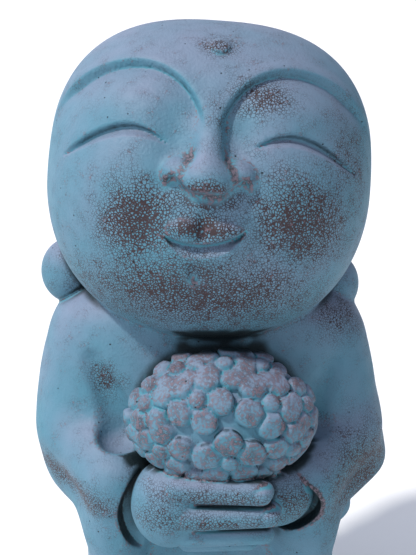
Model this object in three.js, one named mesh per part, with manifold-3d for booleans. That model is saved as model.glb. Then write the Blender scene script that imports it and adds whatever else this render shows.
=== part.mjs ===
// Stone jizo statue: one solid figure with its low base.  Millimetres, +Z up, facing -Y,
// standing on z = 0 with the middle of the base on the origin.
import * as THREE from "three";
import { mergeVertices } from "three/addons/utils/BufferGeometryUtils.js";
import Module from "manifold-3d";

const wasm = await Module();
wasm.setup();

// ---------------------------------------------------------------- driving dimensions
// Head: an egg that leans back and a little to one side.
const HEAD_CENTRE = [-1, -5, 328.3];
const HEAD_PITCH = 18;
const HEAD_ROLL = 4;
const HEAD_HALF_WIDTH = 84.7;
const HEAD_BACK = 84;
const HEAD_FRONT = 82;
const HEAD_TOP = 81.7;
const HEAD_LOW = 83.6;
const HEAD_COLUMNS = 40;
const HEAD_ROWS = 28;

// Face carving, in the head's own x (across) and z (up).
const BROW = { x: 38, z: 10, rise: 38.5, inner: 35.5, outer: 45, depth: 3.6 };
const EYE = { inner: 21, apex: 38, outer: 69, top: 17.3, innerDrop: 7, outerDrop: 13.6, open: 4.9 };
const MOUTH = { x: 0.2, half: 18.6, top: -34.6, topRise: 5.4, low: -41.4, lowRise: 10.8, slope: 0.12 };
const SLIT_DEPTH = 3.6;
const MOUTH_DEPTH = 4.6;
const URNA = { x: 0.4, z: 55.6, rx: 5.6, rz: 4.6, height: 1.9 };

// Ears: a ball lobe under a long hollowed shell; the statue's right ear first.
const EARS = [
  { side: -1, lobe: [-80.5, 6, 273.5], radius: 17.4, top: [-74, 30, 352] },
  { side: 1, lobe: [69.6, 8, 265], radius: 16.8, top: [78, 30, 346] },
];

// Shoulders and upper arms: reach to the statue's left and right, front depth and back depth at
// each height.
const SHAWL = {
  z: [118, 124, 128, 136, 144, 152, 160, 172, 185, 197, 208, 222, 236, 251, 260, 268, 274],
  left: [78, 86, 86.5, 87, 91.5, 98.8, 105, 103.8, 100.8, 99.2, 96.5, 93.6, 89.9, 84.8, 77.6, 64.1, 43],
  right: [75, 79, 80.8, 86.8, 92.8, 97.9, 100.5, 102.2, 103, 102.6, 101, 98.4, 94.7, 89.6, 82.4, 69, 47],
  front: [40, 42.5, 44, 47, 50, 52, 54, 55, 54, 52, 50, 48, 46, 44, 42, 38, 30],
  back: [52, 54, 55, 57, 59, 60, 61, 62, 62, 62, 61, 60, 58, 54, 50, 44, 34],
};
const SHAWL_TOP = 274;

// Robe below the elbows, with a centre panel set back between the sleeve drapes.
const ROBE = {
  z: [12, 60, 120, 150, 170],
  width: [77.7, 75.7, 74.9, 74.2, 70],
  front: [70, 68, 67, 64, 56],
  back: [66, 63, 60, 58, 52],
};
const ROBE_SHIFT = -0.5;
const PANEL_HALF = 39;
const PANEL_DEPTH = 7;

// Arms: shoulder, elbow, wrist and under-sleeve points of the statue's left side, with radii.
const ARM_SHIFT = { "-1": -1.8, "1": 0.6 };
const SHOULDER = [66, -10, 236];
const ELBOW = [72.5, -20, 188];
const WRIST = [49, -58, 178];
const ARM_MIDDLE = [64, -28, 188];
const UNDER_ELBOW = [64, -22, 166];
const UNDER_WRIST = [50, -50, 148];
const ARM_R = { shoulder: 19, elbow: 23.5, wrist: 19, under: 21, underWrist: 18 };
const DRAPE = { x: 51.5, shift: 0, y: -30, half: 18.5, depth: 42, hem: 42, top: 182 };

// Bouquet: a dome covered with five-petalled blossoms.
const BOUQUET_COLUMNS = 42;
const BOUQUET_ROWS = 23;
const DOME_CENTRE = [5, -62, 219];
const DOME_RADII = [46.5, 29.5, 33.5];
// longitude, latitude, ring radius, petal radius, twist
const BLOSSOMS = [
  [-17, 37, 12.2, 6.4, 4], [35, 32, 12.6, 6.4, 50], [5, -18, 12.6, 6.6, 22],
  [-41, -8, 9.5, 6.4, 20], [50, -10, 9.5, 6.2, 15], [-60, 27, 10, 5.8, 40],
  [72, 22, 10, 5.6, 10], [8, 76, 10, 5.6, 0], [-30, -40, 9, 5.4, 50],
  [62, 60, 10, 5.4, 20], [-62, 58, 10, 5.4, 60], [-78, -12, 9.5, 5.6, 30],
  [86, -16, 9.5, 5.6, 50], [34, -46, 9, 5.4, 10], [2, -52, 8, 5.2, 40],
];

// Hands: the right hand lies over the left; four finger tubes [from, to, radius].
const RIGHT_HAND = { centre: [-21.5, -74.5, 173], radii: [20.5, 18.5, 24.5] };
const LEFT_HAND = { centre: [32, -66, 175], radii: [22.5, 18.5, 19] };
const FINGERS = [
  [[-16, -84, 188.5], [25, -89, 189], 7.2],
  [[-12, -86, 172.6], [29.5, -87.5, 175], 7.0],
  [[-12, -83, 159.4], [27, -83.5, 160.6], 6.1],
  [[-12, -76, 150], [20, -77, 151], 5.3],
];
const SLEEVE_MOUTHS = [
  { centre: [-13, -76, 163], radii: [36, 40, 35] },
  { centre: [30, -67, 171], radii: [28, 36, 19] },
];
const MOUTH_FLOOR = -66;

// Base and toes.
const BASE = { width: 92, front: 80, back: 74, height: 16, square: 2.8 };
const TOES = { x: 20, shift: 0, centre: [0, -60, 17], radii: [17, 21, 10] };

// ---------------------------------------------------------------- small maths
const { smoothstep, clamp, degToRad } = THREE.MathUtils;
const step = (a, b, x) => (a < b ? smoothstep(x, a, b) : 1 - smoothstep(x, b, a));
const bump = (x, width) => Math.exp(-((x / width) ** 2));

// Smooth union of two distances, rounded over k; negative is inside.
function blend(a, b, k) {
  const h = clamp(0.5 + (0.5 * (b - a)) / k, 0, 1);
  return b + (a - b) * h - k * h * (1 - h);
}
const cut = (a, b, k) => -blend(-a, b, k);

// Near-distance to an ellipsoid and distance to a tapered tube.
function ellipsoid(p, centre, radii) {
  let k0 = 0;
  let k1 = 0;
  for (let i = 0; i < 3; i++) {
    const v = (p[i] - centre[i]) / radii[i];
    k0 += v * v;
    k1 += (v / radii[i]) ** 2;
  }
  k0 = Math.sqrt(k0) + 1e-9;
  return (k0 * (k0 - 1)) / (Math.sqrt(k1) + 1e-9);
}

function tube(p, a, b, ra, rb) {
  const ab = b.map((v, i) => v - a[i]);
  const ap = p.map((v, i) => v - a[i]);
  const along = ab.reduce((s, v, i) => s + v * ap[i], 0) / ab.reduce((s, v) => s + v * v, 0);
  const h = clamp(along, 0, 1);
  return Math.hypot(...ap.map((v, i) => v - h * ab[i])) - (ra + (rb - ra) * h);
}

// Cubic through a table of stations.
function stations(zs, values, z) {
  const last = zs.length - 1;
  const slope = (k) => {
    const a = Math.max(k - 1, 0);
    const b = Math.min(k + 1, last);
    return (values[b] - values[a]) / (zs[b] - zs[a]);
  };
  let i = 0;
  while (i < last - 1 && z > zs[i + 1]) i++;
  const h = zs[i + 1] - zs[i];
  const t = clamp((z - zs[i]) / h, 0, 1);
  const t2 = t * t;
  const t3 = t2 * t;
  return (2 * t3 - 3 * t2 + 1) * values[i] + (t3 - 2 * t2 + t) * h * slope(i)
    + (3 * t2 - 2 * t3) * values[i + 1] + (t3 - t2) * h * slope(i + 1);
}

// Distance to a superellipse outline at one height.
function outline(x, y, width, front, back, square) {
  const depth = y < 0 ? front : back;
  const rho = (Math.abs(x / width) ** square + Math.abs(y / depth) ** square) ** (1 / square);
  return (Math.hypot(x, y) + 1e-4) * (1 - 1 / Math.max(rho, 1e-4));
}

// ---------------------------------------------------------------- head
const pitch = degToRad(HEAD_PITCH);
const roll = degToRad(HEAD_ROLL);
const faceBack = new THREE.Vector3(0, Math.cos(pitch), -Math.sin(pitch));
const straightUp = new THREE.Vector3(0, Math.sin(pitch), Math.cos(pitch));
const across = new THREE.Vector3(1, 0, 0);
const headUp = straightUp.clone().multiplyScalar(Math.cos(roll)).addScaledVector(across, Math.sin(roll));
const headAcross = across.clone().multiplyScalar(Math.cos(roll)).addScaledVector(straightUp, -Math.sin(roll));
const headFrame = new THREE.Matrix4().makeBasis(headAcross, faceBack, headUp).setPosition(...HEAD_CENTRE);

// Radius of the plain egg along a direction.
function eggRadius(d) {
  const n = 2.24 + 0.35 * step(-0.3, 0.4, d.z);
  const tall = d.z > 0 ? HEAD_TOP : HEAD_LOW;
  const deep = d.y > 0 ? HEAD_BACK : HEAD_FRONT;
  const plan = (Math.abs(d.x / HEAD_HALF_WIDTH) ** n + Math.abs(d.z / tall) ** n) ** (2.18 / n);
  return (plan + Math.abs(d.y / deep) ** 2.18) ** (-1 / 2.18);
}

// Height of the lids, cheeks and the sockets beside the nose over the egg.
function faceRelief(x, z) {
  const u = Math.abs(x);
  const lid = 1.2 * bump(u - 42, 24) * bump(z - 27, 8);
  const cheek = 2.6 * bump(u - 44, 26) * bump(z + 4, 16);
  const socket = 3 * bump(u - 13, 9) * bump(z - 18, 13);
  return lid + cheek - socket;
}

// The whole head without the slits, as a distance in its own frame.
function headDistance(p) {
  const [x, y, z] = p;
  const r = Math.hypot(x, y, z) + 1e-6;
  const d = new THREE.Vector3(x / r, y / r, z / r);
  const egg = eggRadius(d);
  const front = step(0, -0.2, d.y);
  const mirrored = [Math.abs(x), y, z];
  let f = r - egg - front * faceRelief(d.x * egg, d.z * egg);
  f = blend(f, ellipsoid(p, [0, -64, -29], [23, 15, 18]), 10);
  let nose = tube(p, [-0.5, -70, 30], [0, -84, -2], 5.2, 7);
  nose = blend(nose, ellipsoid(p, [0, -85.5, -8], [10.5, 9, 7.5]), 5);
  nose = blend(nose, ellipsoid(mirrored, [14, -79.5, -4.5], [7.6, 8.2, 6.8]), 3);
  nose = cut(nose, z + 13.5 - 0.022 * x * x + 0.12 * (y + 88), 1.5);
  nose = cut(nose, ellipsoid(mirrored, [13.5, -87, -12], [5.6, 9, 7]), 1);
  f = blend(f, nose, 4);
  f = blend(f, ellipsoid(mirrored, [7.5, -76, -30.5], [9.5, 6, 4.6]), 2.5);
  if (y < 0) {
    f += 2.2 * Math.exp(-(((x + 3.4) / 3.4) ** 4) - ((z + 50) / 5) ** 4);
    f -= URNA.height * step(1.1, 0.6, Math.hypot((x - URNA.x) / URNA.rx, (z - URNA.z) / URNA.rz));
  }
  return f;
}

// ---------------------------------------------------------------- robe, sleeves and drapes
function bodyDistance(p) {
  const [x, y, z] = p;
  const at = (table, key) => stations(table.z, table[key], z);
  let upper = outline(x, y, at(SHAWL, x > 0 ? "left" : "right"), at(SHAWL, "front"), at(SHAWL, "back"), 2.35);
  upper = Math.max(upper, SHAWL.z[0] - z, (z - SHAWL_TOP) * 0.8);
  let lower = outline(x - ROBE_SHIFT, y, at(ROBE, "width"), at(ROBE, "front"), at(ROBE, "back"), 2.7);
  const panelEdge = PANEL_HALF + 0.12 * (150 - z);
  if (y < 0) lower += PANEL_DEPTH * step(panelEdge, panelEdge - 4, Math.abs(x - 1));
  lower = Math.max(lower, (z - 170) * 0.8);
  let f = blend(upper, lower, 2.5);

  const u = Math.abs(x - DRAPE.shift);
  let drape = outline(u - DRAPE.x, y - DRAPE.y, DRAPE.half, DRAPE.depth, DRAPE.depth, 2.6);
  drape = cut(drape, z - DRAPE.hem, 3);
  drape = cut(drape, DRAPE.top - z, 14);
  return blend(f, drape, 8);
}

// One arm in its sleeve: upper arm, forearm and the slack under the forearm.
function armDistance(side, p) {
  const q = [(p[0] - ARM_SHIFT[side]) * side, p[1], p[2]];
  const upper = tube(q, SHOULDER, ELBOW, ARM_R.shoulder, ARM_R.elbow);
  const fore = tube(q, ELBOW, WRIST, ARM_R.elbow, ARM_R.wrist);
  const under = tube(q, UNDER_ELBOW, UNDER_WRIST, ARM_R.under, ARM_R.underWrist);
  return blend(blend(upper, fore, 6), under, 6);
}

// ---------------------------------------------------------------- solids
// Turns a closed three.js geometry into a solid that can be joined and cut.
function solid(geometry) {
  geometry.deleteAttribute("normal");
  geometry.deleteAttribute("uv");
  const merged = mergeVertices(geometry, 1e-4);
  return new wasm.Manifold(new wasm.Mesh({
    numProp: 3,
    vertProperties: new Float32Array(merged.attributes.position.array),
    triVerts: new Uint32Array(merged.index.array),
  }));
}

// Outermost place where the distance turns negative, going inwards along a ray.
function reach(distance, from, direction, far) {
  const point = (t) => from.map((v, i) => v + t * direction[i]);
  let out = far;
  while (out > 2 && distance(point(out)) > 0) out -= 1.5;
  let a = out;
  let b = out + 1.5;
  for (let k = 0; k < 14; k++) {
    const m = (a + b) / 2;
    if (distance(point(m)) > 0) b = m;
    else a = m;
  }
  return a;
}

// Skin stretched over a distance from one centre, columns crowded towards -Y.
function skinFrom(centre, distance, columns, rows, crowd, far) {
  const ball = new THREE.SphereGeometry(1, columns, rows).rotateX(Math.PI / 2);
  const place = ball.attributes.position;
  for (let i = 0; i < place.count; i++) {
    const v = new THREE.Vector3().fromBufferAttribute(place, i);
    const u = Math.atan2(v.x, -v.y) / Math.PI;
    const w = Math.asin(clamp(v.z, -1, 1)) / (Math.PI / 2);
    const lon = Math.PI * ((1 - crowd) * u + crowd * u ** 3);
    const lat = (Math.PI / 2) * ((1 - crowd / 2) * w + (crowd / 2) * w ** 3);
    const d = [Math.sin(lon) * Math.cos(lat), -Math.cos(lon) * Math.cos(lat), Math.sin(lat)];
    const r = reach(distance, centre, d, far);
    place.setXYZ(i, ...centre.map((c, k) => c + r * d[k]));
  }
  return ball;
}

// Skin stretched over a distance from an upright axis, one ring of points per height.
function skinAround(axisY, distance, columns, heights) {
  const drum = new THREE.CylinderGeometry(1, 1, 1, columns, heights.length - 1).rotateX(Math.PI / 2);
  const place = drum.attributes.position;
  for (let i = 0; i < place.count; i++) {
    const x = place.getX(i);
    const y = place.getY(i);
    const z = heights[Math.round((place.getZ(i) + 0.5) * (heights.length - 1))];
    if (Math.hypot(x, y) < 0.5) {
      place.setXYZ(i, 0, axisY, z);
      continue;
    }
    const r = reach(distance, [0, axisY, z], [x, y, 0], 125);
    place.setXYZ(i, r * x, axisY + r * y, z);
  }
  return drum;
}

const ballAt = (centre, radii, columns, rows) =>
  solid(new THREE.SphereGeometry(1, columns, rows).rotateX(Math.PI / 2).scale(...radii).translate(...centre));

// Crescent blade that cuts between two curves top(x) and low(x) of the face: deepTop(x) under
// the skin along its top edge and deepLow(x) along its low edge.
function crescent(x0, x1, top, low, deepTop, deepLow, steps) {
  const xs = [];
  for (let i = 0; i <= steps; i++) xs.push(x0 + ((x1 - x0) * i) / steps);
  const shape = new THREE.Shape(xs.map((x) => new THREE.Vector2(x, top(x)))
    .concat(xs.slice(1, -1).reverse().map((x) => new THREE.Vector2(x, low(x)))));
  const blade = new THREE.ExtrudeGeometry(shape, { depth: 60, bevelEnabled: false });
  const place = blade.attributes.position;
  for (let i = 0; i < place.count; i++) {
    const x = place.getX(i);
    const z = place.getY(i);
    const share = clamp((top(x) - z) / Math.max(top(x) - low(x), 0.01), 0, 1);
    const deep = deepTop(x) + share * (deepLow(x) - deepTop(x));
    const d = new THREE.Vector3(x, -Math.sqrt(Math.max(6700 - x * x - z * z, 0)), z).normalize();
    const skin = reach(headDistance, [0, 0, 0], d.toArray(), 105);
    const r = place.getZ(i) < 30 ? skin - deep : skin + 14;
    place.setXYZ(i, ...d.multiplyScalar(r).toArray());
  }
  return solid(blade);
}

// The recess under one brow: a steep facet along the arc, running out down the lid.
function browRecess(side) {
  const from = BROW.x - BROW.inner * 0.93;
  const to = BROW.x + BROW.outer * 0.93;
  const taper = (x) => Math.max(1 - Math.abs((x * side - (from + to) / 2) / ((to - from) / 2)) ** 3, 0);
  const top = (x) => {
    const u = x * side - BROW.x;
    return BROW.z + BROW.rise * Math.sqrt(Math.max(1 - (u / (u < 0 ? BROW.inner : BROW.outer)) ** 2, 0));
  };
  const low = (x) => top(x) - 0.5 - 13 * taper(x);
  const deepTop = (x) => 0.3 + BROW.depth * Math.sqrt(taper(x)) * (1 + 0.4 * step(30, 8, x * side));
  const [a, b] = side > 0 ? [from, to] : [-to, -from];
  return crescent(a, b, top, low, deepTop, () => -1, 14);
}

function eyeSlit(side) {
  const mid = (EYE.inner + EYE.outer) / 2;
  const half = (EYE.outer - EYE.inner) / 2;
  const taper = (x) => Math.max(1 - Math.abs((x * side - mid) / half) ** 2.4, 0);
  const top = (x) => {
    const u = x * side;
    const inner = Math.max(EYE.apex - u, 0) / (EYE.apex - EYE.inner);
    const outer = Math.max(u - EYE.apex, 0) / (EYE.outer - EYE.apex);
    return EYE.top - EYE.innerDrop * inner ** 2 - EYE.outerDrop * outer ** 1.8;
  };
  const low = (x) => top(x) - EYE.open * 0.75 * taper(x) ** 0.7;
  const deep = (x) => 0.4 + SLIT_DEPTH * 0.8 * Math.sqrt(taper(x));
  const [a, b] = side > 0 ? [EYE.inner, EYE.outer] : [-EYE.outer, -EYE.inner];
  return crescent(a, b, top, low, deep, (x) => 0.5 * deep(x), 12);
}

function smile() {
  const level = (x) => MOUTH.slope * x;
  const part = (x) => clamp((x - MOUTH.x) / MOUTH.half, -1, 1);
  const top = (x) => MOUTH.top + MOUTH.topRise * part(x) ** 2 + level(x);
  const low = (x) => MOUTH.low + MOUTH.lowRise * part(x) ** 2 + level(x);
  const deep = (x) => 0.4 + MOUTH_DEPTH * 0.7 * Math.sqrt(Math.max(1 - part(x) ** 2, 0));
  return crescent(MOUTH.x - MOUTH.half, MOUTH.x + MOUTH.half, top, low, deep, () => 0, 10);
}

function head() {
  const skin = solid(skinFrom([0, 0, 0], headDistance, HEAD_COLUMNS, HEAD_ROWS, 0.45, 112));
  let carved = skin.subtract(smile());
  for (const side of [-1, 1]) carved = carved.subtract(browRecess(side)).subtract(eyeSlit(side));
  return carved.transform(headFrame.elements);
}

function ear({ side, lobe, radius, top }) {
  const low = [lobe[0] * 0.93, lobe[1] + 15, lobe[2] + 12];
  const mid = low.map((v, i) => (v + top[i]) / 2 + [side * 2, 3, 6][i]);
  const hollow = [mid[0] + side * 10, mid[1] - 4, mid[2] + 2];
  const shell = ballAt(mid, [12, 18, 40], 11, 8).subtract(ballAt(hollow, [8, 9, 26], 9, 6));
  return shell.add(ballAt(lobe, [radius * 0.92, radius, radius * 1.06], 12, 8));
}

// The low disc, centre knob and ring of petals of one blossom, each as
// { at: its centre, axes: its three directions, radii, round: how softly it joins }.
function blossomButtons([lon, lat, ring, petal, twist]) {
  const dome = new THREE.Vector3(...DOME_RADII);
  const centre = new THREE.Vector3(...DOME_CENTRE);
  const a = degToRad(lon);
  const b = degToRad(lat);
  const unit = new THREE.Vector3(Math.sin(a) * Math.cos(b), -Math.cos(a) * Math.cos(b), Math.sin(b));
  const normalAt = (e) => e.clone().divide(dome).normalize();
  const axis = normalAt(unit);
  const right = new THREE.Vector3(-axis.y, axis.x, 0).normalize();
  const up = new THREE.Vector3().crossVectors(axis, right);
  const middle = unit.clone().multiply(dome).add(centre);
  const button = (at, n, radii, round) => {
    const x = right.clone().addScaledVector(n, -right.dot(n)).normalize();
    return { at, axes: [x, new THREE.Vector3().crossVectors(n, x), n], radii, round };
  };
  const wide = ring + petal * 0.55;
  const buttons = [
    button(middle.clone().addScaledVector(axis, -1), axis, [wide, wide, 5], 2.5),
    button(middle.clone().addScaledVector(axis, 2.6), axis, [5.2, 5.2, 4.2], 1.2),
  ];
  for (let k = 0; k < 5; k++) {
    const t = degToRad(twist + 72 * k);
    const at = middle.clone().addScaledVector(right, ring * Math.cos(t)).addScaledVector(up, ring * Math.sin(t));
    const e = at.sub(centre).divide(dome).normalize();
    const n = normalAt(e);
    const seat = e.multiply(dome).add(centre).addScaledVector(n, 1.9);
    buttons.push(button(seat, n, [petal, petal, 4.6], 1.2));
  }
  return buttons;
}

function bouquet() {
  const buttons = BLOSSOMS.flatMap(blossomButtons);
  const distance = (p) => {
    let f = ellipsoid(p, DOME_CENTRE, DOME_RADII);
    const point = new THREE.Vector3(...p);
    for (const { at, axes, radii, round } of buttons) {
      const v = point.clone().sub(at);
      if (v.length() > radii[0] + 6) continue;
      f = blend(f, ellipsoid(axes.map((d) => d.dot(v)), [0, 0, 0], radii), round);
    }
    return f;
  };
  return solid(skinFrom(DOME_CENTRE, distance, BOUQUET_COLUMNS, BOUQUET_ROWS, 0.45, 70));
}

function arm(side) {
  const middle = [ARM_MIDDLE[0] * side + ARM_SHIFT[side], ARM_MIDDLE[1], ARM_MIDDLE[2]];
  return solid(skinFrom(middle, (p) => armDistance(side, p), 16, 13, 0, 90));
}

function hands() {
  let both = ballAt(RIGHT_HAND.centre, RIGHT_HAND.radii, 14, 9);
  both = both.add(ballAt(LEFT_HAND.centre, LEFT_HAND.radii, 12, 8));
  for (const [from, to, radius] of FINGERS) {
    const a = new THREE.Vector3(...from);
    const b = new THREE.Vector3(...to);
    const turn = new THREE.Quaternion().setFromUnitVectors(new THREE.Vector3(0, 1, 0), b.clone().sub(a).normalize());
    const finger = new THREE.CapsuleGeometry(radius, a.distanceTo(b), 2, 7).applyQuaternion(turn);
    both = both.add(solid(finger.translate(...a.add(b).multiplyScalar(0.5).toArray())));
  }
  return both;
}

// Space between each hand and the rim of its sleeve.
function sleeveMouths() {
  const front = new THREE.BoxGeometry(200, 80, 120).translate(0, MOUTH_FLOOR - 40, 180);
  const [right, left] = SLEEVE_MOUTHS.map((m) => ballAt(m.centre, m.radii, 12, 8));
  return right.add(left).intersect(solid(front));
}

function outlineRadius(x, y) {
  const depth = y < 0 ? BASE.front : BASE.back;
  return (Math.abs(x / BASE.width) ** BASE.square + Math.abs(y / depth) ** BASE.square) ** (-1 / BASE.square);
}

// The base as a drum whose rings shrink over the rounded top edge.
function baseSolid() {
  const heights = [0, BASE.height - 5, BASE.height - 2, BASE.height];
  const inset = [0, 0, 1.2, 4.5];
  const drum = new THREE.CylinderGeometry(1, 1, 1, 36, heights.length - 1).rotateX(Math.PI / 2);
  const place = drum.attributes.position;
  for (let i = 0; i < place.count; i++) {
    const x = place.getX(i);
    const y = place.getY(i);
    const k = Math.round((place.getZ(i) + 0.5) * (heights.length - 1));
    const size = Math.hypot(x, y) < 0.5 ? 0 : outlineRadius(x, y) - inset[k];
    place.setXYZ(i, size * x, size * y, heights[k]);
  }
  return solid(drum);
}

function toes() {
  const [right, left] = [-1, 1].map((side) => {
    const [x, y, z] = TOES.centre;
    return ballAt([x + TOES.shift + side * TOES.x, y, z], TOES.radii, 10, 6);
  });
  return right.add(left);
}

const BODY_HEIGHTS = [8, 24, 41, 43.5, 60, 84, 106, 120, 128, 136, 144, 152, 160, 170, 180, 190,
  200, 212, 224, 236, 247, 256, 263, 269, 273];

let figure = solid(skinAround(-5, bodyDistance, 38, BODY_HEIGHTS));
figure = figure.add(arm(-1)).add(arm(1)).subtract(sleeveMouths());
figure = figure.add(hands()).add(bouquet()).add(head());
for (const row of EARS) figure = figure.add(ear(row));
figure = figure.add(toes()).add(baseSolid());

// ---------------------------------------------------------------- named piece
const cleaned = figure.getMesh();
const geometry = new THREE.BufferGeometry();
geometry.setAttribute("position", new THREE.BufferAttribute(new Float32Array(cleaned.vertProperties), 3));
geometry.setIndex(new THREE.BufferAttribute(new Uint32Array(cleaned.triVerts), 1));
geometry.computeVertexNormals();

const stone = new THREE.MeshStandardMaterial({ color: 0x4f7f8f, roughness: 0.85, metalness: 0 });
const statue = new THREE.Mesh(geometry, stone);
statue.name = "jizo_statue";

const part = new THREE.Group();
part.name = "stone_jizo";
part.add(statue);
export default part;
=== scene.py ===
import math
from concurrent.futures import ThreadPoolExecutor

import bpy
import numpy as np
import openvdb
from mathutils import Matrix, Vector


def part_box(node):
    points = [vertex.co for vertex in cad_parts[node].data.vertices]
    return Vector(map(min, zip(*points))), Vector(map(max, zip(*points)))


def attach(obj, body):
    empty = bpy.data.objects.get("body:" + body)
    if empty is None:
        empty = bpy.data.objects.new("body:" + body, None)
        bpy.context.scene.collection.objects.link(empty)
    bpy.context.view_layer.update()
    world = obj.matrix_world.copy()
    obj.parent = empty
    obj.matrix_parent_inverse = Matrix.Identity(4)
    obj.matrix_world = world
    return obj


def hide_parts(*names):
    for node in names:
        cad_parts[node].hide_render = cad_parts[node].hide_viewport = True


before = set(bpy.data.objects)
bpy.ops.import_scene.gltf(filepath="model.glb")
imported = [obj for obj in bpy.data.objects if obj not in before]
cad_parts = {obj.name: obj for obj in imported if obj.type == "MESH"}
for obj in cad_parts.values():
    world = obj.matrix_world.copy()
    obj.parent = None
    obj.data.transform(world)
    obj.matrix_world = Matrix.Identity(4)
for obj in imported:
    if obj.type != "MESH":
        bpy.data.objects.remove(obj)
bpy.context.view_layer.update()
scene = bpy.context.scene

# ------------------------------------------------------------------ camera
# A short lens held close, a little above the figure's face and tipped down at it.
CAMERA_PLACE = (-0.0016, -0.4517, 0.4355)
CAMERA_TIP = 20.0
CAMERA_LENS = 55.1

camera_data = bpy.data.cameras.new("camera")
camera_data.lens = CAMERA_LENS
camera_data.sensor_width = 36.0
camera_data.clip_start = 0.01
camera = bpy.data.objects.new("camera", camera_data)
scene.collection.objects.link(camera)
camera.location = CAMERA_PLACE
camera.rotation_euler = (math.radians(90.0 - CAMERA_TIP), 0.0, 0.0)
scene.camera = camera

# ------------------------------------------------------------------ head
# The head is an egg that leans back and a little to one side, with the brows, closed eyes,
# nose and smile carved into it.  Like every form of the one stone block it is given as a
# distance in millimetres, negative inside the stone; the block is skinned further down.
HEAD_CENTRE = (-1.0, -5.0, 328.3)
HEAD_PITCH, HEAD_ROLL = 18.0, 4.0
HEAD_HALF_WIDTH, HEAD_FRONT, HEAD_BACK, HEAD_TOP, HEAD_LOW = 84.7, 82.0, 84.0, 81.7, 83.6
BROW_X, BROW_Z, BROW_RISE, BROW_INNER, BROW_OUTER = 38.0, 10.0, 38.5, 35.5, 45.0
BROW_FACET, BROW_DEPTH, BROW_CLIMB = 1.3, 4.2, 11.0
SOCKET_X, SOCKET_WIDTH, SOCKET_DEPTH = (16.5, 13.0), (10.0, 8.0), 4.2
EYE_INNER, EYE_APEX, EYE_OUTER, EYE_TOP = 20.0, 38.0, 70.0, 17.3
EYE_INNER_DROP, EYE_OUTER_DROP, EYE_OPEN, EYE_DEPTH = 7.4, 13.8, 6.2, 3.8
NOSE_TIP_Z, NOSTRIL_Z, WING_Z = -12.4, -5.6, -9.0
MOUTH_X, MOUTH_HALF, MOUTH_DEPTH, MOUTH_SLOPE = 0.2, 19.0, 5.0, 0.12
MOUTH_TOP, MOUTH_TOP_RISE, MOUTH_LOW, MOUTH_LOW_RISE = -34.6, 5.4, -41.4, 12.2
# soft swellings of the face: place and spread across, place and spread up, height
LID_SWELL, CHEEK_SWELL, WING_DIP = (43, 22, 27, 9, 1.6), (45, 23, -9, 21, 3.2), (14, 6.5, -12, 5, -0.8)
# the fold from nose to mouth corner: middle of its ring, ring radius, width and depth
FOLD_X, FOLD_Z, FOLD_RADIUS, FOLD_WIDTH, FOLD_DEPTH = 6, -24, 20.5, 6, 1.3
MUZZLE = ((0, -64, -30), (22, 15, 18))
NOSE_BRIDGE = ((-0.4, -67.5, 36), (-0.4, -84.5, -2), 5.2, 6.6)
NOSE_TIP, NOSE_WING = ((-0.4, -84.5, -7.0), (11.0, 9.0, 8.0)), ((13.6, -78.5, -4.0), (7.4, 7.4, 7.2))
LIP_LOBE = ((8.6, -76.6, -28.6), (8.8, 6.4, 5.3))
PHILTRUM_X, PHILTRUM_WIDTH, PHILTRUM_DEPTH = -0.6, 3.0, 2.0
DIMPLE_X, DIMPLE_Z, DIMPLE_WIDTH, DIMPLE_HEIGHT, DIMPLE_DEPTH = -3.6, -48, 3.2, 4.4, 2.8
BEAD_X, BEAD_Z, BEAD_WIDTH, BEAD_HEIGHT, BEAD_LIFT = 1.2, 57.2, 5.6, 4.6, 1.9


def rise(a, b, x):
    """Smooth step, 3t^2 - 2t^3, from 0 at a to 1 at b."""
    t = np.clip((x - a) / (b - a), 0, 1)
    return t * t * (3 - 2 * t)


def melt(a, b, k):
    """Smooth union of two distances: the lesser one, rounded where they are within k."""
    h = np.clip(0.5 + 0.5 * (b - a) / k, 0, 1)
    return b + (a - b) * h - k * h * (1 - h)


def carve(a, b, k):
    """Form a with form b cut out of it, the cut's edge rounded over k."""
    return -melt(-a, b, k)


def swell(x, width):
    """Bell curve, e^-(x/width)^2."""
    return np.exp(-((x / width) ** 2))


def mound(x, z, place, wide, up, tall, lift):
    """Bell-shaped mound, lift e^-((x-place)/wide)^2 e^-((z-up)/tall)^2."""
    return lift * swell(x - place, wide) * swell(z - up, tall)


def ellipsoid(p, centre, radii):
    """Near-distance to an ellipsoid: k(k-1)/|gradient| with k the scaled radius."""
    v = [(p[i] - np.float32(centre[i])) / np.float32(radii[i]) for i in range(3)]
    k0 = np.sqrt(v[0] ** 2 + v[1] ** 2 + v[2] ** 2) + 1e-9
    k1 = np.sqrt(sum((v[i] / radii[i]) ** 2 for i in range(3))) + 1e-9
    return k0 * (k0 - 1) / k1


def rod(p, a, b, ra, rb):
    """Distance to a straight rod from a to b whose radius runs from ra to rb, round-ended."""
    ab = [b[i] - a[i] for i in range(3)]
    ap = [p[i] - np.float32(a[i]) for i in range(3)]
    h = np.clip(sum(ap[i] * ab[i] for i in range(3)) / sum(v * v for v in ab), 0, 1)
    return np.sqrt(sum((ap[i] - h * ab[i]) ** 2 for i in range(3))) - (ra + (rb - ra) * h)


pitch, roll = math.radians(HEAD_PITCH), math.radians(HEAD_ROLL)
upright = np.array([0, math.sin(pitch), math.cos(pitch)])
sideways = np.array([1.0, 0, 0])
HEAD_AXES = np.stack([
    math.cos(roll) * sideways - math.sin(roll) * upright,
    [0, math.cos(pitch), -math.sin(pitch)],
    math.cos(roll) * upright + math.sin(roll) * sideways,
]).astype(np.float32)


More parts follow.
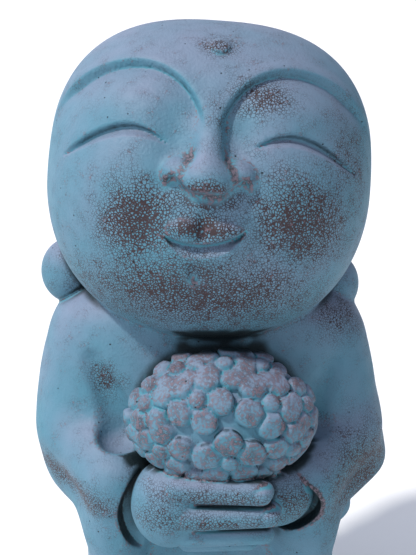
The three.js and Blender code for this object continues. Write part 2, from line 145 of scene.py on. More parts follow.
def egg_radius(dx, dy, dz):
    """Radius along a direction of a superellipsoid whose front outline is squarer on top:
    ((|x/w|^n + |z/h|^n)^(m/n) + |y/d|^m)^(-1/m)."""
    n = 2.24 + 0.35 * rise(-0.3, 0.4, dz)
    tall = np.where(dz > 0, HEAD_TOP, HEAD_LOW)
    deep = np.where(dy > 0, HEAD_BACK, HEAD_FRONT)
    m = 2.18
    front_view = (np.abs(dx / HEAD_HALF_WIDTH) ** n + np.abs(dz / tall) ** n) ** (m / n)
    return (front_view + np.abs(dy / deep) ** m) ** (-1 / m)


def slit(below, width, lead, flat, ends):
    """Depth share across a cut: straight down over `lead`, level, then straight back up over
    the share of `width` that is not flat."""
    down = np.clip((below + 0.3) / (lead + 0.3), 0, 1)
    back = np.clip((width - below) / np.maximum((1 - flat) * (width - lead), 0.4), 0, 1)
    return np.minimum(down, back) * ends


def face_relief(x, z):
    """Height over the egg at face place (x, z): brow edge, sockets, lids, cheeks, eye slits."""
    u = np.abs(x)
    half = np.where(u < BROW_X, BROW_INNER, BROW_OUTER)
    under = BROW_RISE * (1 - np.sqrt(((u - BROW_X) / half) ** 2 + ((z - BROW_Z) / BROW_RISE) ** 2))
    start = np.where(x > 0, 2, 12)
    along = rise(start, start + 16, z) * (1 - rise(64, 82, u))
    facet = np.clip(under / BROW_FACET, 0, 1)
    facet = facet * np.exp(-np.clip(under - BROW_FACET, 0, None) / BROW_CLIMB)
    height = along * (0.5 * swell(under + 2.0, 2.4) - BROW_DEPTH * facet)
    socket = swell(u - np.where(x > 0, SOCKET_X[1], SOCKET_X[0]),
                   np.where(x > 0, SOCKET_WIDTH[1], SOCKET_WIDTH[0]))
    height -= SOCKET_DEPTH * socket * swell(z - 13, 17)
    height += mound(u, z, *LID_SWELL)
    height += mound(u, z, *CHEEK_SWELL)
    fold = swell(np.hypot(u - FOLD_X, z - FOLD_Z) - FOLD_RADIUS, FOLD_WIDTH)
    height -= FOLD_DEPTH * fold * rise(12, 20, u)
    height += mound(u, z, *WING_DIP)
    inner = np.clip(EYE_APEX - u, 0, None) / (EYE_APEX - EYE_INNER)
    outer = np.clip(u - EYE_APEX, 0, None) / (EYE_OUTER - EYE_APEX)
    lid_edge = EYE_TOP - EYE_INNER_DROP * inner ** 2 - EYE_OUTER_DROP * outer ** 1.8
    middle, reach = (EYE_INNER + EYE_OUTER) / 2, (EYE_OUTER - EYE_INNER) / 2
    taper = np.clip(1 - np.abs((u - middle) / reach) ** 2.4, 0, 1)
    return height - EYE_DEPTH * slit(lid_edge - z, EYE_OPEN * taper ** 0.7, 0.9, 0.3, taper ** 0.5)


def head(p):
    """Egg plus relief along the radius, with muzzle, nose and lips melted on and the smile,
    philtrum, chin dimple and forehead bead worked into the skin."""
    q = HEAD_AXES @ (p - np.array(HEAD_CENTRE, np.float32)[:, None])
    x, y, z = q
    u = np.abs(x)
    r = np.sqrt((q ** 2).sum(0)) + 1e-6
    egg = egg_radius(x / r, y / r, z / r)
    facing = rise(0.0, 0.2, -y / r)
    f = r - egg - face_relief(x / r * egg, z / r * egg) * facing
    both = np.stack([u, y, z])
    f = melt(f, ellipsoid(q, *MUZZLE), 10)
    nose = rod(q, *NOSE_BRIDGE)
    nose = melt(nose, ellipsoid(q, *NOSE_TIP), 5)
    nose = melt(nose, ellipsoid(both, *NOSE_WING), 6)
    underside = (NOSE_TIP_Z + (NOSTRIL_Z - NOSE_TIP_Z) * np.clip((u - 6.5) / 8.5, 0, 1)
                 + (WING_Z - NOSTRIL_Z) * rise(16, 20.5, u))
    nose = carve(nose, (z - underside) * 0.75, 0.8)
    f = melt(f, nose, 3.5)
    f = melt(f, ellipsoid(both, *LIP_LOBE), 1.8)
    across = (x - MOUTH_X) / MOUTH_HALF
    level = z - MOUTH_SLOPE * x
    top = MOUTH_TOP + MOUTH_TOP_RISE * across ** 2
    low = MOUTH_LOW + MOUTH_LOW_RISE * np.abs(across) ** 3
    ends = np.clip(1 - across ** 2, 0, 1) ** 0.4
    f += MOUTH_DEPTH * slit(top - level, np.maximum(top - low, 0.01), 0.8, 0.0, ends) * facing
    groove = PHILTRUM_DEPTH * swell(x - PHILTRUM_X, PHILTRUM_WIDTH)
    f += groove * rise(-36, -31, z) * (1 - rise(-24, -17, z)) * facing
    dimple = ((x - DIMPLE_X) / DIMPLE_WIDTH) ** 2 + ((z - DIMPLE_Z) / DIMPLE_HEIGHT) ** 2
    f += DIMPLE_DEPTH * np.exp(-(dimple ** 1.5)) * facing
    bead = np.sqrt(((x - BEAD_X) / BEAD_WIDTH) ** 2 + ((z - BEAD_Z) / BEAD_HEIGHT) ** 2)
    return f - BEAD_LIFT * (1 - rise(0.6, 1.1, bead)) * facing


# ------------------------------------------------------------------ ears
# Long ears lie back against the head, each a hollowed shell that ends in a round ball of a
# lobe standing clear of the jaw.  They are part of the same block.
EAR_LOBES = [((-80.5, 6.0, 273.5), 17.4), ((69.6, 8.0, 265.0), 16.8)]
EAR_TOPS = [(-74.0, 30.0, 352.0), (78.0, 30.0, 346.0)]
EAR_ROD, EAR_SHELL, EAR_CUP = (9.5, 10.5), (10, 17, 34), (8, 8, 22)


def ears(p):
    """Per side a ball, melted to a shell (rod and flat ellipsoid, less an inner ellipsoid)."""
    out = None
    for side, (lobe, radius), top in zip((-1, 1), EAR_LOBES, EAR_TOPS):
        low = np.array([lobe[0] * 0.93, lobe[1] + 15, lobe[2] + 12])
        middle = (low + top) / 2 + [side * 2, 3, 6]
        shell = melt(rod(p, low, top, *EAR_ROD), ellipsoid(p, middle, EAR_SHELL), 5)
        shell = carve(shell, ellipsoid(p, middle + [side * 9, -4, 2], EAR_CUP), 2)
        ear = melt(ellipsoid(p, lobe, (radius * 0.92, radius, radius * 1.06)), shell, 2.5)
        out = ear if out is None else np.minimum(out, ear)
    return out


# ------------------------------------------------------------------ robe and sleeves
# A plain robe hangs straight to the base.  Over it the shoulders and upper arms make one
# smooth shawl-like mass, and a sleeve drape hangs from each forearm with the centre set back.
# Sizes at stations up the block; right and left are the sides towards +x and -x.
SHAWL_Z = [118, 124, 128, 136, 144, 152, 160, 172, 185, 197, 208, 222, 236, 251, 260, 268, 274]
SHAWL_RIGHT = [78, 86, 86.5, 87, 91.5, 98.8, 105, 103.8, 100.8, 99.2, 96.5, 93.6, 89.9, 84.8, 77.6,
               64.1, 43]
SHAWL_LEFT = [75, 79, 80.8, 86.8, 92.8, 97.9, 100.5, 102.2, 103, 102.6, 101, 98.4, 94.7, 89.6, 82.4,
              69, 47]
SHAWL_FRONT = [40, 42.5, 44, 47, 50, 52, 54, 55, 54, 52, 50, 48, 46, 44, 42, 38, 30]
SHAWL_BACK = [52, 54, 55, 57, 59, 60, 61, 62, 62, 62, 61, 60, 58, 54, 50, 44, 34]
ROBE_Z = [12, 60, 120, 150, 170]
ROBE_WIDTH = [77.7, 75.7, 74.9, 74.2, 70]
ROBE_FRONT = [70, 68, 67, 64, 56]
ROBE_BACK = [66, 63, 60, 58, 52]
ROBE_SHIFT = -0.5
PANEL_HALF, PANEL_DEPTH = 39.0, 7.0
SHOULDER, ELBOW, WRIST = (66, -10, 236), (72.5, -20, 188), (49, -58, 178)
UNDER_ELBOW, UNDER_WRIST = (64, -22, 166), (50, -50, 148)
ARM_SHIFT = (-1.8, 0.6)
DRAPE_X, DRAPE_SHIFT, DRAPE_Y, DRAPE_HALF, DRAPE_DEPTH = 51.5, 0.0, -30.0, 18.5, 42.0
DRAPE_HEM, DRAPE_TOP = 42.0, 182.0
# scooped out along the inner edge of each upper arm: two ends and their radii
HOLLOWS = [((-66, -42, 237), (-49, -53, 204), 8.5, 13), ((68, -40, 236), (57, -50, 211), 7, 12)]


def stations(heights, sizes, z):
    """Cubic (Hermite) curve through sizes given at heights, slopes from the neighbours."""
    heights, sizes = np.array(heights, float), np.array(sizes, float)
    slope = np.empty_like(sizes)
    slope[1:-1] = (sizes[2:] - sizes[:-2]) / (heights[2:] - heights[:-2])
    slope[0] = (sizes[1] - sizes[0]) / (heights[1] - heights[0])
    slope[-1] = (sizes[-1] - sizes[-2]) / (heights[-1] - heights[-2])
    fine = np.linspace(heights[0], heights[-1], 400)
    i = np.clip(np.searchsorted(heights, fine) - 1, 0, len(heights) - 2)
    h = heights[i + 1] - heights[i]
    t = (fine - heights[i]) / h
    curve = ((2 * t ** 3 - 3 * t ** 2 + 1) * sizes[i] + (t ** 3 - 2 * t ** 2 + t) * h * slope[i]
             + (3 * t ** 2 - 2 * t ** 3) * sizes[i + 1] + (t ** 3 - t ** 2) * h * slope[i + 1])
    return np.interp(z, fine, curve).astype(np.float32)


def outline(x, y, width, front, back, square):
    """Distance to a superellipse outline, |x/w|^n + |y/d|^n = 1, measured along the radius."""
    deep = np.where(y < 0, front, back)
    rho = (np.abs(x / width) ** square + np.abs(y / deep) ** square) ** (1 / square)
    return (np.sqrt(x * x + y * y) + 1e-4) * (1 - 1 / np.maximum(rho, 1e-4))


def robe(p):
    """Shawl outline over robe outline, the robe's middle pushed back between two drapes."""
    x, y, z = p
    wide = np.where(x > 0, stations(SHAWL_Z, SHAWL_RIGHT, z), stations(SHAWL_Z, SHAWL_LEFT, z))
    upper = outline(x, y, wide,
                    stations(SHAWL_Z, SHAWL_FRONT, z), stations(SHAWL_Z, SHAWL_BACK, z), 2.35)
    upper = np.maximum(upper, np.maximum(SHAWL_Z[0] - z, (z - SHAWL_Z[-1]) * 0.8))
    lower = outline(x - ROBE_SHIFT, y, stations(ROBE_Z, ROBE_WIDTH, z),
                    stations(ROBE_Z, ROBE_FRONT, z), stations(ROBE_Z, ROBE_BACK, z), 2.7)
    edge = PANEL_HALF + 0.12 * (150 - z)
    lower = lower + PANEL_DEPTH * (1 - rise(edge - 4, edge, np.abs(x - 1))) * (y < 0)
    lower = np.maximum(lower, (z - 170) * 0.8)
    f = melt(upper, lower, 2.5)
    u = np.abs(x - DRAPE_SHIFT)
    drape = outline(u - DRAPE_X, y - DRAPE_Y, DRAPE_HALF, DRAPE_DEPTH, DRAPE_DEPTH, 2.6)
    drape = carve(drape, z - DRAPE_HEM, 3)
    drape = carve(drape, DRAPE_TOP - z, 14)
    return melt(f, drape, 8)


def sleeves(p):
    """Per side three tapered rods melted together: upper arm, forearm, slack of the sleeve."""
    out = None
    for side, shift in zip((-1, 1), ARM_SHIFT):
        q = np.stack([(p[0] - shift) * side, p[1], p[2]])
        arm = melt(rod(q, SHOULDER, ELBOW, 19, 23.5), rod(q, ELBOW, WRIST, 23.5, 19), 6)
        arm = melt(arm, rod(q, UNDER_ELBOW, UNDER_WRIST, 21, 18), 6)
        out = arm if out is None else np.minimum(out, arm)
    return out


def chest_hollows(p):
    """Per side a tapered rod along the inner edge of the upper arm: what is scooped out."""
    return np.minimum(*[rod(p, *hollow) for hollow in HOLLOWS])


# ------------------------------------------------------------------ hands
# The right hand lies over the left under the bouquet, its fingers side by side.  A gap runs
# between each hand and the rim of its sleeve.
RIGHT_PALM, LEFT_PALM = ((-21.5, -74.5, 173), (20.5, 18.5, 24.5)), ((32, -66, 175), (22.5, 18.5, 19))
SLEEVE_MOUTHS = [((-13, -76, 163), (36, 40, 35)), ((30, -67, 171), (28, 36, 19))]
MOUTH_PLANE = -66
# knuckle, tip, radius at the knuckle and at the tip
FINGERS = [
    ((-16, -84, 188.5), (25, -89, 189), 7.8, 6.7),
    ((-12, -86, 172.6), (29.5, -87.5, 175), 7.5, 6.6),
    ((-12, -83, 159.4), (27, -83.5, 160.6), 6.6, 5.7),
    ((-12, -76, 150), (20, -77, 151), 5.6, 5.0),
]
NAIL_HALF_LENGTH, NAIL_HALF_WIDTH, NAIL_DEPTH = 5.6, 4.2, 0.8


def hands(p):
    """Two ellipsoid palms; the upper one carries four rods as fingers, two with a nail."""
    f = ellipsoid(p, *RIGHT_PALM)
    for start, tip, first, last in FINGERS:
        f = melt(f, rod(p, start, tip, first, last), 1.6)
    for start, tip, first, last in FINGERS[:2]:
        rim = np.hypot((p[0] - tip[0] - 1.5) / NAIL_HALF_LENGTH,
                       (p[2] - tip[2] - 0.5) / NAIL_HALF_WIDTH)
        f = f + NAIL_DEPTH * swell((rim - 1) * NAIL_HALF_WIDTH, 0.8) * (p[1] < tip[1])
    return melt(f, ellipsoid(p, *LEFT_PALM), 1.0)


def sleeve_mouths(p):
    """Two ellipsoids in front of MOUTH_PLANE: what is hollowed out round the wrists."""
    f = np.minimum(*[ellipsoid(p, *mouth) for mouth in SLEEVE_MOUTHS])
    return np.maximum(f, p[1] - MOUTH_PLANE)


# ------------------------------------------------------------------ bouquet
# A round posy of five-petalled blossoms packed over a dome, petals and centres rounded like
# pebbles, with a smooth valley round each blossom.
DOME_CENTRE = np.array([5.0, -62.0, 218.0])
DOME_RADII = np.array([46.0, 29.0, 32.5])
RIM_LIFT, PETAL_LIFT, KNOB_LIFT, KNOB_RADIUS, BEVEL = 1.6, 3.0, 3.2, 4.6, 3.2
# longitude and latitude on the dome, ring radius, petal radius, turn of the ring
BLOSSOMS = [
    (-17, 37, 10.6, 7.2, 3), (35, 32, 11.2, 7.6, 50), (5, -17, 11.8, 7.8, 22),
    (49, -14, 9.8, 6.8, 15), (-38, -12, 10.0, 6.8, 20), (-58, 25, 9.4, 6.4, 40),
    (70, 20, 9.2, 6.4, 10), (8, 74, 9.6, 6.6, 0), (66, 64, 9.0, 6.2, 20),
    (-62, 60, 9.0, 6.2, 60), (-80, -14, 9.0, 6.2, 30), (88, -20, 9.0, 6.2, 50),
    (-34, -52, 8.8, 6.2, 50), (36, -54, 8.8, 6.2, 10), (2, -64, 8.6, 6.0, 40),
]


def pillow(depth):
    """Rounded rise, 1 - (1 - t)^3, from 0 at an edge to 1 at BEVEL inside it."""
    return 1 - (1 - np.clip(depth / BEVEL, 0, 1)) ** 3


def blossom(e, lon, lat, ring, petal, turn):
    """Height of one blossom over the dome at scaled directions e: a scalloped rim, five petals
    parted by grooves, and a knob.  The plane touching the dome at its middle carries it."""
    a, b = math.radians(lon), math.radians(lat)
    unit = np.array([math.sin(a) * math.cos(b), -math.cos(a) * math.cos(b), math.sin(b)])
    axis = unit / DOME_RADII
    axis /= np.linalg.norm(axis)
    right = np.array([-axis[1], axis[0], 0.0])
    right /= np.linalg.norm(right)
    up = np.cross(axis, right)
    away = np.maximum(unit @ e, 0.3)
    x, y = (right * DOME_RADII) @ e / away, (up * DOME_RADII) @ e / away
    x, y = x - (right * DOME_RADII) @ unit, y - (up * DOME_RADII) @ unit
    rho = np.hypot(x, y)
    fifth = math.radians(72)
    t = (np.arctan2(y, x) - math.radians(turn) + fifth / 2) % fifth - fifth / 2
    edge = ring * np.cos(t) + np.sqrt(np.maximum(petal ** 2 - (ring * np.sin(t)) ** 2, 0)) - rho
    groove = rho * np.sin(fifth / 2 - np.abs(t))
    walls = [np.maximum(w, 0.02) for w in (edge, groove, rho - KNOB_RADIUS)]
    within = sum(w ** -5 for w in walls) ** (-1 / 5)
    return (RIM_LIFT * pillow(edge) + PETAL_LIFT * pillow(within)
            + KNOB_LIFT * pillow(KNOB_RADIUS - rho)) * (away > 0.35)


def bouquet(p):
    """The dome, raised by the highest blossom at each place."""
    f = ellipsoid(p, DOME_CENTRE, DOME_RADII)
    close = np.abs(f - 2) < 9
    if close.any():
        e = (p[:, close] - DOME_CENTRE[:, None]) / DOME_RADII[:, None]
        e /= np.linalg.norm(e, axis=0) + 1e-9
        height = 0
        for row in BLOSSOMS:
            height = np.maximum(height, blossom(e, *row))
        f[close] -= height
    return f


# ------------------------------------------------------------------ feet and base
# The toes show under the hem, on a low base with a rounded edge that is part of the block.
BASE_WIDTH, BASE_FRONT, BASE_BACK, BASE_HEIGHT, BASE_SQUARE = 92.0, 80.0, 74.0, 16.0, 2.8
TOE_X, TOE_PLACE, TOE_RADII = 20.0, (0, -60, 17), (17, 21, 10)


def feet_and_base(p):
    """A superellipse slab with its top edge rounded, and two half-sunk ellipsoids."""
    x, y, z = p
    slab = outline(x, y, BASE_WIDTH, BASE_FRONT, BASE_BACK, BASE_SQUARE)
    slab = np.maximum(carve(slab, BASE_HEIGHT - z, 5), -z)
    toes = ellipsoid(np.stack([np.abs(x) - TOE_X, y, z]), TOE_PLACE, TOE_RADII)
    return melt(slab, toes, 2)


# ------------------------------------------------------------------ the block
# All of it is one piece of cast stone.  The forms are joined as distances, the skin is taken
# where the distance is nought, and the mesh is thinned where it is flat.
PITCH_MM = 0.9
BRICK = 8
FACES = 190000
# low and high corners of the boxes that the forms keep within
BODY_BOX, HEAD_BOX = ((-112, -80, 0), (112, 75, 280)), ((-90, -98, 240), (90, 84, 416))
EAR_BOX, BASE_BOX = ((-103, -14, 240), (98, 52, 366)), ((-96, -84, 0), (96, 78, 30))


def near(p, low, high, form, pad=9.0):
    """The form inside a box grown by pad, and a plain distance to the box outside it."""
    gap = np.maximum(np.maximum(np.array(low)[:, None] - p, p - np.array(high)[:, None]), 0).max(0)
    f = (gap + 3).astype(np.float32)
    close = gap < pad
    if close.any():
        f[close] = form(p[:, close])
    return f


def body(p):
    """Robe and sleeves, melted together more softly under the forearms than above them."""
    return melt(robe(p), sleeves(p), 7 + 8 * (1 - rise(150, 185, p[2])))


def figure(p):
    """Robe, sleeves, hands, bouquet, base and head joined in that order."""
    f = near(p, *BODY_BOX, body)
    front = (p[1] < -26) & (p[2] > 125) & (p[2] < 262) & (np.abs(p[0] - 5) < 80)
    if front.any():
        q = p[:, front]
        g = carve(carve(f[front], chest_hollows(q), 3), sleeve_mouths(q), 1.0)
        f[front] = melt(np.minimum(g, hands(q)), bouquet(q), 1.0)
    skull = melt(near(p, *HEAD_BOX, head), near(p, *EAR_BOX, ears), 3)
    f = melt(f, skull, 3)
    return melt(f, near(p, *BASE_BOX, feet_and_base), 2)


def grid_of(form, low, high, pitch):
    """Distance on an even grid: bricks far from the skin get one value, the rest are filled."""
    count = np.ceil((high - low) / pitch / BRICK).astype(int)
    centres = [low[i] + pitch * (BRICK * np.arange(count[i]) + (BRICK - 1) / 2) for i in range(3)]
    centre = np.stack(np.meshgrid(*centres, indexing="ij")).reshape(3, -1).astype(np.float32)
    rough = np.concatenate([form(c) for c in np.array_split(centre, 16, axis=1)])
    bricks = np.empty((centre.shape[1], BRICK ** 3), np.float32)
    bricks[:] = np.where(rough < 0, -3 * pitch, 3 * pitch)[:, None]
    step = pitch * (np.arange(BRICK) - (BRICK - 1) / 2)
    offset = np.stack(np.meshgrid(step, step, step, indexing="ij")).reshape(3, 1, -1).astype(np.float32)
    busy = np.nonzero(np.abs(rough) < pitch * BRICK * 1.4 + 3)[0]

    def fill(some):
        points = (centre[:, some][:, :, None] + offset).reshape(3, -1)
        bricks[some] = form(points).reshape(len(some), -1)

    with ThreadPoolExecutor(4) as pool:
        list(pool.map(fill, np.array_split(busy, max(len(busy) // 500, 1))))
    shape = tuple(count) + (BRICK,) * 3
    return np.ascontiguousarray(bricks.reshape(shape).transpose(0, 3, 1, 4, 2, 5).reshape(count * BRICK))


low, high = (np.array(corner) * 1000 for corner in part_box("jizo_statue"))
low, high = low - [6, 6, 4], high + [6, 6, 6]
values = grid_of(figure, low, high, PITCH_MM)
volume = openvdb.FloatGrid()
volume.copyFromArray(values)
points, quads = volume.convertToQuads(0.0)
points = (low + points * PITCH_MM).astype(np.float32)

statue_mesh = bpy.data.meshes.new("jizo_statue_carved")
statue_mesh.from_pydata((points / 1000).tolist(), [], quads.tolist())
statue_mesh.update()
statue = bpy.data.objects.new("jizo_statue_carved", statue_mesh)
scene.collection.objects.link(statue)

thin = statue.modifiers.new("thin", "DECIMATE")
thin.ratio = min(1.0, FACES / (2 * len(quads)))
evaluated = statue.evaluated_get(bpy.context.evaluated_depsgraph_get())
thinned = bpy.data.meshes.new_from_object(evaluated)
statue.modifiers.clear()
statue.data = thinned
statue_mesh = thinned
statue_mesh.polygons.foreach_set("use_smooth", np.ones(len(statue_mesh.polygons), bool))

# ------------------------------------------------------------------ patina
# A matte teal wash brushed over dark brown and rubbed back by hand: brown and pink show on
# edges, petal tops and as a fine net on cheeks, chin, hands and forearms; hollows stay teal.
# Painted light as well: up-facing surfaces lean to lavender as a painted sheen, and the deep
# crevices get near-black painted shade.
TEAL = (0.080, 0.222, 0.30, 1)
BRIGHT_TEAL = (0.07, 0.255, 0.33, 1)
# lavender: random tone where the broad noise is high, and a painted sheen on up-facing surfaces
LAVENDER_TONE_AND_SHEEN = (0.185, 0.235, 0.33, 1)
BROWN = (0.040, 0.026, 0.030, 1)
RUBBED = (0.165, 0.122, 0.150, 1)
# near-black: painted shade for the crevices, and also the colour of the pinholes
CREVICE_SHADE_AND_PINHOLE_DARK = (0.010, 0.022, 0.028, 1)
BROAD_SCALE, MIDDLE_SCALE, FINE_SCALE = 22, 130, 700
NET_SCALE, NET_BEND_SCALE, NET_BEND = 720, 420, (0.0016, 0.0016, 0.0016)
PINHOLE_SCALE = 170
BUMP_STRENGTH, BUMP_DISTANCE = 0.85, 0.0008
FEEL, CREVICE_REACH = 1.8, 12
# place (x, z) in the head's own axes, spread (x, z) and strength of each speckled patch
FACE_PATCHES = [
    (-31, -26, 17, 17, 0.75), (44, -22, 26, 20, 0.62), (0, -58, 60, 18, 0.62), (-1, -27, 17, 6, 0.8),
    (0, -14, 14, 5, 0.9), (5, 14, 5, 18, 0.25), (22, 33, 14, 9, 0.45), (0, 57, 7, 6, 0.5),
    (66, 8, 14, 30, 0.3),
]
# place (x, z) in the block's axes, spread (x, z) and strength
BODY_PATCHES = [
    (-78, 170, 30, 9, 0.6), (84, 172, 22, 26, 0.6), (0, 186, 34, 7, 0.40), (4, 172, 34, 6, 0.38),
    (42, 176, 16, 12, 0.42), (-56, 226, 8, 10, 0.45), (-24, 176, 16, 10, 0.35), (74, 262, 18, 16, 0.4),
]


def blotches(x, z, patches):
    """Strongest of the bell-shaped patches at each place."""
    out = np.zeros_like(x)
    for cx, cz, wide, tall, strength in patches:
        out = np.maximum(out, strength * swell(x - cx, wide) * swell(z - cz, tall))
    return out


def head_and_ears(p):
    """Distance to head and ears alone, drawn in so that it is negative on their own skin."""
    return np.minimum(near(p, *HEAD_BOX, head), near(p, *EAR_BOX, ears)) - 2


def vertex_paint(mesh):
    """Stores per vertex: ridge and hollow (from the distance a little inside and outside the
    skin), the crevice mask for painted shade (from far outside it), speckle (the patches) and
    petal (blossom height)."""
    count = len(mesh.vertices)
    place, normal = np.empty(count * 3, np.float32), np.empty(count * 3, np.float32)
    mesh.vertices.foreach_get("co", place)
    mesh.vertex_normals.foreach_get("vector", normal)
    p, n = place.reshape(-1, 3).T * 1000, normal.reshape(-1, 3).T
    ridge = np.clip((figure(p - FEEL * n) + FEEL) / FEEL, 0, 1)
    hollow = np.clip((FEEL - figure(p + FEEL * n)) / FEEL, 0, 1)
    # mask for painted shade: how near other stone lies outside the skin, a reach further out
    crevice_shade = np.clip((CREVICE_REACH - figure(p + CREVICE_REACH * n)) / CREVICE_REACH, 0, 1)
    q = HEAD_AXES @ (p - np.array(HEAD_CENTRE, np.float32)[:, None])
    front = rise(-0.1, 0.5, -n[1])
    on_head = rise(-92, -84, q[2]) * (head_and_ears(p) < 0)
    speckle = np.where(on_head > 0, blotches(q[0], q[2], FACE_PATCHES),
                       blotches(p[0], p[2], BODY_PATCHES))
    e = (p - DOME_CENTRE[:, None]) / DOME_RADII[:, None]
    away = np.linalg.norm(e, axis=0)
    height = (away - 1) * np.linalg.norm(p - DOME_CENTRE[:, None], axis=0) / away
    petal = rise(2.6, 4.4, height) * (height < 8) * (bouquet(p) < 0.6)
    for name, values in (("ridge", ridge), ("hollow", hollow), ("crevice_shade", crevice_shade),
                         ("speckle", speckle * front), ("petal", petal)):
        mesh.attributes.new(name, "FLOAT", "POINT").data.foreach_set("value", values.astype(np.float32))


class Nodes:
    """Short-hand for a material's node tree."""

    def __init__(self, tree):
        self.tree = tree

    def add(self, kind, **settings):
        node = self.tree.nodes.new(kind)
        for key, value in settings.items():
            setattr(node, key, value)
        return node

    def feed(self, socket, value):
        if isinstance(value, bpy.types.NodeSocket):
            self.tree.links.new(value, socket)
        else:
            socket.default_value = value

    def math(self, operation, a, b=0.0, clamp=False):
        node = self.add("ShaderNodeMath", operation=operation, use_clamp=clamp)
        self.feed(node.inputs[0], a)
        self.feed(node.inputs[1], b)
        return node.outputs[0]

    def mix(self, factor, a, b):
        node = self.add("ShaderNodeMix", data_type="RGBA")
        self.feed(node.inputs["Factor"], factor)
        self.feed(node.inputs[6], a)
        self.feed(node.inputs[7], b)
        return node.outputs[2]

    def step(self, value, low, high):
        node = self.add("ShaderNodeMapRange", interpolation_type="SMOOTHSTEP")
        for key, v in (("Value", value), ("From Min", low), ("From Max", high)):
            self.feed(node.inputs[key], v)
        return node.outputs[0]

    def noise(self, vector, scale, detail=2.0):
        node = self.add("ShaderNodeTexNoise")
        self.feed(node.inputs["Vector"], vector)
        self.feed(node.inputs["Scale"], scale)
        self.feed(node.inputs["Detail"], detail)
        return node.outputs["Fac"]

    def attribute(self, name):
        return self.add("ShaderNodeAttribute", attribute_name=name).outputs["Fac"]


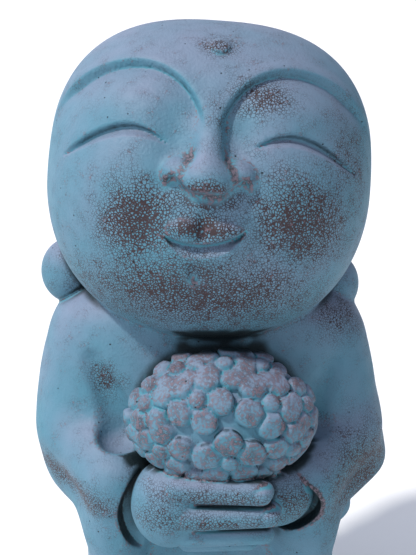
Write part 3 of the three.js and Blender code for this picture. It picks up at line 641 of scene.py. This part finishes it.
def patina_material():
    """Teal to lavender wash (the lavender partly a painted sheen on top faces), brown net where
    speckled, rubbed ridges and petal tops, near-black painted shade in the crevices, pinholes;
    grain, net and holes also drive the bump."""
    material = bpy.data.materials.new("patina")
    material.use_nodes = True
    n = Nodes(material.node_tree)
    shader = material.node_tree.nodes["Principled BSDF"]
    place = n.add("ShaderNodeTexCoord").outputs["Object"]
    broad = n.noise(place, BROAD_SCALE, 3)
    middle = n.noise(place, MIDDLE_SCALE, 3)
    fine = n.noise(place, FINE_SCALE, 2)

    # Painted highlight: the normal's upward part pushes the wash towards lavender, a painted sheen on
    # top faces; the broad noise adds lavender tone at random.
    tilt = n.add("ShaderNodeSeparateXYZ")
    n.feed(tilt.inputs[0], n.add("ShaderNodeNewGeometry").outputs["Normal"])
    upright = n.math("MULTIPLY", n.step(tilt.outputs["Z"], 0.1, 0.9), 0.75)
    cloud = n.math("MULTIPLY", n.math("SUBTRACT", broad, 0.42), 1.6)
    sheen_and_lavender = n.math("ADD", upright, cloud, clamp=True)
    wash_and_sheen = n.mix(sheen_and_lavender, TEAL, LAVENDER_TONE_AND_SHEEN)
    hollow = n.attribute("hollow")
    wash_and_sheen = n.mix(n.step(hollow, 0.05, 0.4), wash_and_sheen, BRIGHT_TEAL)

    shaken = n.add("ShaderNodeTexNoise")
    n.feed(shaken.inputs["Vector"], place)
    n.feed(shaken.inputs["Scale"], NET_BEND_SCALE)
    bend = n.add("ShaderNodeVectorMath", operation="MULTIPLY_ADD")
    n.feed(bend.inputs[0], shaken.outputs["Color"])
    n.feed(bend.inputs[1], NET_BEND)
    n.feed(bend.inputs[2], place)
    net = n.add("ShaderNodeTexVoronoi", feature="DISTANCE_TO_EDGE")
    n.feed(net.inputs["Vector"], bend.outputs[0])
    n.feed(net.inputs["Scale"], NET_SCALE)

    uneven = n.math("MULTIPLY", n.math("SUBTRACT", middle, 0.5), 0.55)
    speckle = n.math("ADD", n.attribute("speckle"), uneven)
    line = n.math("SUBTRACT", n.math("MULTIPLY", speckle, 0.36), net.outputs["Distance"])
    brown = n.math("MULTIPLY", n.step(line, -0.05, 0.10), n.step(hollow, 0.35, 0.0))
    colour = n.mix(brown, wash_and_sheen, BROWN)

    worn = n.math("MULTIPLY", n.attribute("ridge"), 2.3)
    worn = n.math("ADD", worn, n.math("MULTIPLY", n.attribute("petal"), 0.50))
    worn = n.math("ADD", worn, n.math("MULTIPLY", n.math("SUBTRACT", fine, 0.5), 1.8))
    worn = n.math("ADD", worn, n.math("MULTIPLY", n.math("SUBTRACT", middle, 0.5), 1.3))
    rubbed = n.mix(n.step(fine, 0.42, 0.62), BROWN, RUBBED)
    colour = n.mix(n.math("MULTIPLY", n.step(worn, 0.25, 0.85), 0.9), colour, rubbed)
    # Painted shade: where other stone lies close outside the skin (under the chin, round the bouquet)
    # the colour goes near-black.
    colour = n.mix(n.step(n.attribute("crevice_shade"), 0.5, 1.0), colour, CREVICE_SHADE_AND_PINHOLE_DARK)

    holes = n.add("ShaderNodeTexVoronoi")
    n.feed(holes.inputs["Vector"], place)
    n.feed(holes.inputs["Scale"], PINHOLE_SCALE)
    picked = n.add("ShaderNodeSeparateColor")
    n.feed(picked.inputs[0], holes.outputs["Color"])
    hole = n.step(holes.outputs["Distance"], 0.10, 0.05)
    hole = n.math("MULTIPLY", hole, n.step(picked.outputs[0], 0.6, 0.62))
    # pinholes take the same near-black colour as the painted crevice shade
    colour = n.mix(hole, colour, CREVICE_SHADE_AND_PINHOLE_DARK)
    n.feed(shader.inputs["Base Color"], colour)
    n.feed(shader.inputs["Roughness"], n.math("ADD", 0.5, n.math("MULTIPLY", middle, 0.2)))
    shader.inputs["Specular IOR Level"].default_value = 0.3

    grain = n.math("ADD", n.math("MULTIPLY", fine, 0.5), n.math("MULTIPLY", middle, 0.5))
    grain = n.math("SUBTRACT", grain, n.math("MULTIPLY", hole, 0.8))
    grain = n.math("SUBTRACT", grain, n.math("MULTIPLY", brown, 0.25))
    bump = n.add("ShaderNodeBump")
    n.feed(bump.inputs["Height"], grain)
    n.feed(bump.inputs["Strength"], BUMP_STRENGTH)
    n.feed(bump.inputs["Distance"], BUMP_DISTANCE)
    n.feed(shader.inputs["Normal"], bump.outputs[0])
    return material


vertex_paint(statue_mesh)
statue_mesh.materials.append(patina_material())
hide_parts("jizo_statue")
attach(statue, "root")

# ------------------------------------------------------------------ floor and light
# A wide white floor, a sky that is bright on the left and dim on the right, and one soft sun
# from the upper left.
FLOOR_CORNERS = [(-40, -20, 0), (40, -20, 0), (40, 60, 0), (-40, 60, 0)]
SKY_LEFT, SKY_RIGHT = (1.00, 1.03, 1.18, 1), (0.23, 0.26, 0.33, 1)
KEY_FROM, KEY_POWER, KEY_COLOUR, KEY_ANGLE = (-0.62, -0.33, 1.0), 2.8, (1.0, 0.97, 0.92), 4

floor_mesh = bpy.data.meshes.new("floor")
floor_mesh.from_pydata(FLOOR_CORNERS, [], [(0, 1, 2, 3)])
floor = bpy.data.objects.new("floor", floor_mesh)
scene.collection.objects.link(floor)
white = bpy.data.materials.new("white_floor")
white.use_nodes = True
white_shader = white.node_tree.nodes["Principled BSDF"]
white_shader.inputs["Base Color"].default_value = (0.9, 0.9, 0.9, 1)
white_shader.inputs["Roughness"].default_value = 0.9
floor_mesh.materials.append(white)

scene.view_settings.view_transform = "Standard"
world = bpy.data.worlds.new("studio")
scene.world = world
world.use_nodes = True
sky = Nodes(world.node_tree)
side = sky.add("ShaderNodeSeparateXYZ")
sky.feed(side.inputs[0], sky.add("ShaderNodeTexCoord").outputs["Generated"])
background = world.node_tree.nodes["Background"]
sky.feed(background.inputs["Color"],
         sky.mix(sky.step(side.outputs["X"], -0.8, 0.7), SKY_LEFT, SKY_RIGHT))
background.inputs["Strength"].default_value = 1.0

key_data = bpy.data.lights.new("key", "SUN")
key_data.energy = KEY_POWER
key_data.color = KEY_COLOUR
key_data.angle = math.radians(KEY_ANGLE)
key = bpy.data.objects.new("key", key_data)
scene.collection.objects.link(key)
key.rotation_euler = Vector(KEY_FROM).to_track_quat("Z", "Y").to_euler()
